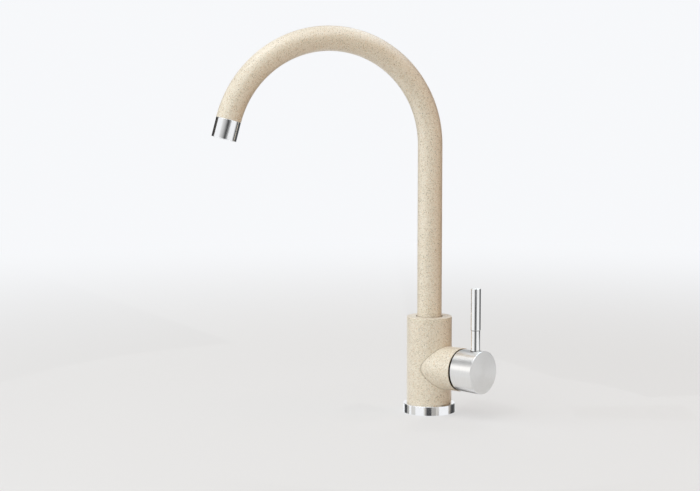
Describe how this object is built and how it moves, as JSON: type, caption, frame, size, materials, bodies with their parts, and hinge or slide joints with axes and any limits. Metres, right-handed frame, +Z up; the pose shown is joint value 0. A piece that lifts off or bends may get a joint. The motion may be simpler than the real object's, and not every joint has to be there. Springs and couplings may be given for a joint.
{
  "type": "mixer tap",
  "caption": "Kitchen mixer tap with a swivelling round-arch spout, a side lever with an upright pin handle, and a base for a deck hole.",
  "frame": {"origin": "centre of the body's underside, on the deck's top surface", "axes": "+Z up, +X along the side lever's housing, -Y towards the basin; at rest the spout points to 240 degrees about +Z from +X"},
  "size_m": [0.1897, 0.2252, 0.438],
  "materials": {
    "granite_coat": "satin beige granite-effect coat with fine speckle, on brass",
    "chrome": "polished chrome plating on brass",
    "brushed_steel": "satin brushed stainless steel",
    "polished_steel": "polished stainless steel",
    "plain_steel": "plain zinc-plated or stainless steel",
    "brass": "machined brass",
    "black_rubber": "black rubber",
    "white_plastic": "white moulded plastic",
    "grey_plastic": "grey moulded plastic",
    "ceramic": "lapped white ceramic"
  },
  "bodies": {
    "base": {"mixer_body": "granite_coat", "base_ring": "chrome", "base_seal": "black_rubber", "fixing_stud": "plain_steel", "deck_gasket": "black_rubber", "deck_plate": "plain_steel", "stud_nut": "plain_steel", "spout_slip_ring": "white_plastic", "spout_lock_screw": "plain_steel", "cartridge_base": "white_plastic", "port_seals": "black_rubber", "cartridge_shell": "white_plastic", "fixed_disc": "ceramic", "cartridge_nut": "brass", "cartridge_cover": "chrome"},
    "spout": {"spout_tube": "granite_coat", "spout_ferrule": "brass", "spout_oring_lower": "black_rubber", "spout_oring_upper": "black_rubber", "outlet_sleeve": "chrome", "outlet_nipple": "brass", "aerator_seal": "black_rubber", "aerator_screen": "plain_steel", "aerator_insert": "grey_plastic"},
    "rotor": {"rotor": "white_plastic", "stem_pin": "plain_steel"},
    "lever": {"lever_stem": "plain_steel", "lever_cap": "brushed_steel", "lever_set_screw": "plain_steel", "screw_plug": "brushed_steel", "lever_rod": "polished_steel", "rod_seat_ring": "black_rubber", "lever_grip": "polished_steel"},
    "disc_slider": {"moving_disc": "ceramic", "disc_carrier": "white_plastic"}
  },
  "joints": [
    {"name": "spout_swivel", "type": "hinge", "parent": "base", "child": "spout", "pos_m": [0, 0, 0.0715], "axis": [0, 0, 1], "continuous": true},
    {"name": "temperature", "type": "hinge", "parent": "base", "child": "rotor", "pos_m": [0.0493, 0, 0.048], "axis": [1, 0, 0], "range_deg": [-45, 45]},
    {"name": "flow", "type": "hinge", "parent": "rotor", "child": "lever", "pos_m": [0.0493, 0, 0.048], "axis": [0, 1, 0], "range_deg": [0, 20]},
    {"name": "disc_slide", "type": "slide", "parent": "rotor", "child": "disc_slider", "axis": [0, 0, 1], "range_m": [0, 0.0065]}
  ],
  "couplings": [
    {"joint": "disc_slide", "follows": "flow", "m_per_rad": 0.018}
  ]
}
